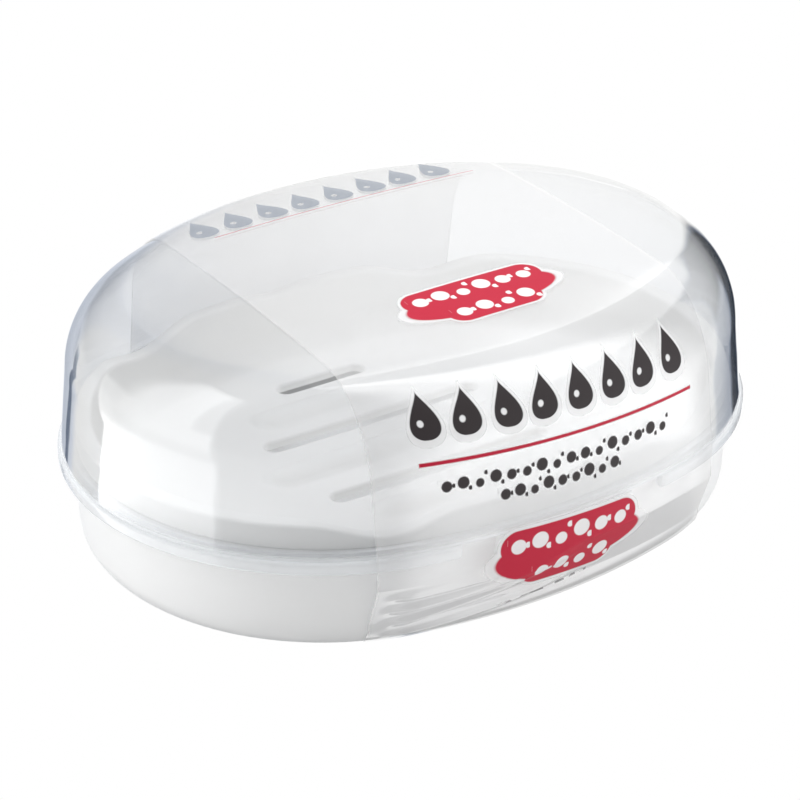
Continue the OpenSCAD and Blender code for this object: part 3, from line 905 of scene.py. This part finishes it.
def studio_world():
    """White to the camera, soft and even as a light, and a panorama of bright and dark cards to mirrors.

    A card's place is its turn from +X and its rise above level, both in degrees."""
    world = bpy.data.worlds.new("studio")
    bpy.context.scene.world = world
    m = Maker(world)
    way = m.node("TexCoord", out="Generated")
    x, y, z = [m.node("SeparateXYZ", sockets={0: way}, out=k) for k in range(3)]
    degrees = 180 / math.pi
    turn = m.maths("ARCTAN2", y, x) * degrees
    rise = m.maths("ARCSINE", m.smallest(m.largest(z, -1.0), 1.0)) * degrees

    def sector(start, stop, soft=1.5):
        return m.fade(turn, start - soft, start + soft) * m.fade(turn, stop + soft, stop - soft)

    # Large card past the left end, across the turn of 180: bright in its middle and at its foot,
    # and taken down high up on its rear side
    left_card = m.largest(sector(126.5, 200.0), m.fade(turn, -168.0, -171.0)) * m.fade(rise, 62.0, 59.0)
    middle = m.fade(rise, -17.0, 4.0) * m.largest(m.fade(turn, 136.0, 150.0), m.fade(turn, -160.0, -168.0))
    foot = m.fade(rise, -15.0, -21.0)
    rear_top = m.fade(rise, 8.0, 14.0) * m.fade(turn, 152.0, 144.0)
    left_card = left_card * (1.0 + middle * 1.15 + foot * 0.85 - rear_top * 0.95)

    # Pale cards: the backdrop, one past the right end, one overhead, and the lit part of the floor
    backdrop = m.fade(turn, 36.0, 41.0) * m.fade(turn, 78.0, 54.0)
    right_card = sector(-87.0, -22.0, 12.0)
    ceiling = sector(-60.0, 48.0, 8.0) * m.fade(rise, 25.5, 28.5)
    near_floor = m.fade(rise, 4.0, -6.0) * m.fade(rise, -46.0, -30.0)

    # Dark card to the right of the backdrop, half as dark low on its right side
    dark = sector(-2.0, 36.0, 2.0) * m.fade(rise, 27.0, 24.0) * m.fade(rise, -33.0, -28.0)
    dark = dark * (1.0 - m.fade(rise, 2.0, -4.0) * m.fade(turn, 22.0, 16.0) * 0.55)

    # Faint gap between the backdrop and the left card, and a dark line beside it that bends low down
    left_gap = sector(66.0, 98.0, 5.0)
    line_turn = turn - m.smallest((rise + 17.0) * 1.4, 0.0)
    left_line = m.fade(abs(line_turn - 100.0), 3.6, 1.6) * m.fade(rise, -4.0, -11.0)

    level = 0.5 + near_floor * 0.25 + backdrop * 0.5 + right_card * 1.1 + ceiling * 0.5
    level = level * (1.0 - dark * 0.96) * (1.0 - left_gap * 0.1) * (1.0 - left_line * 0.7) + left_card
    tint = m.colour(m.largest(dark, left_line, left_gap * 0.4), (1, 1, 0.99, 1), (0.55, 0.7, 1, 1))
    seen = m.node("LightPath", out="Is Camera Ray")
    mirrored = m.node("LightPath", out="Is Glossy Ray")
    ambient = m.node("Background", sockets={"Color": (1, 1, 0.99, 1), "Strength": AMBIENT})
    cards = m.node("Background", sockets={"Color": tint, "Strength": level})
    white = m.node("Background", sockets={"Color": WHITE, "Strength": 1.0})
    m.finish(m.mix(seen, m.mix(mirrored, ambient, cards), white), "OutputWorld")


def photo_camera():
    """The camera at the photograph's viewing angle, as fitted to the box's outline."""
    forward = Vector((0.5031, 0.7390, -0.4481)).normalized()
    target = Vector((0, 0, 0.02592))
    distance = 0.4608
    lens = bpy.data.cameras.new("camera")
    lens.lens, lens.sensor_width = 124.56, 36
    lens.shift_x, lens.shift_y = -0.0079, -0.0487
    lens.clip_start, lens.clip_end = 0.01, 20
    camera = bpy.data.objects.new("camera", lens)
    bpy.context.collection.objects.link(camera)
    look_at(camera, target - forward * distance, target)
    bpy.context.scene.camera = camera


studio_floor()
studio_world()
softbox("key_light", place=(-0.46, 0.19, 0.3), target=(0, 0, 0.02), size=(0.5, 0.6), power=1.78)
softbox("top_light", place=(0.08, 0.24, 0.76), target=(0, 0, 0), size=(0.4, 0.4), power=3.35)
softbox("fill_light", place=(0.5, -0.35, 0.3), target=(0, 0, 0.02), size=(0.4, 0.4), power=2.2)
photo_camera()
bpy.context.scene.view_settings.view_transform = "Standard"
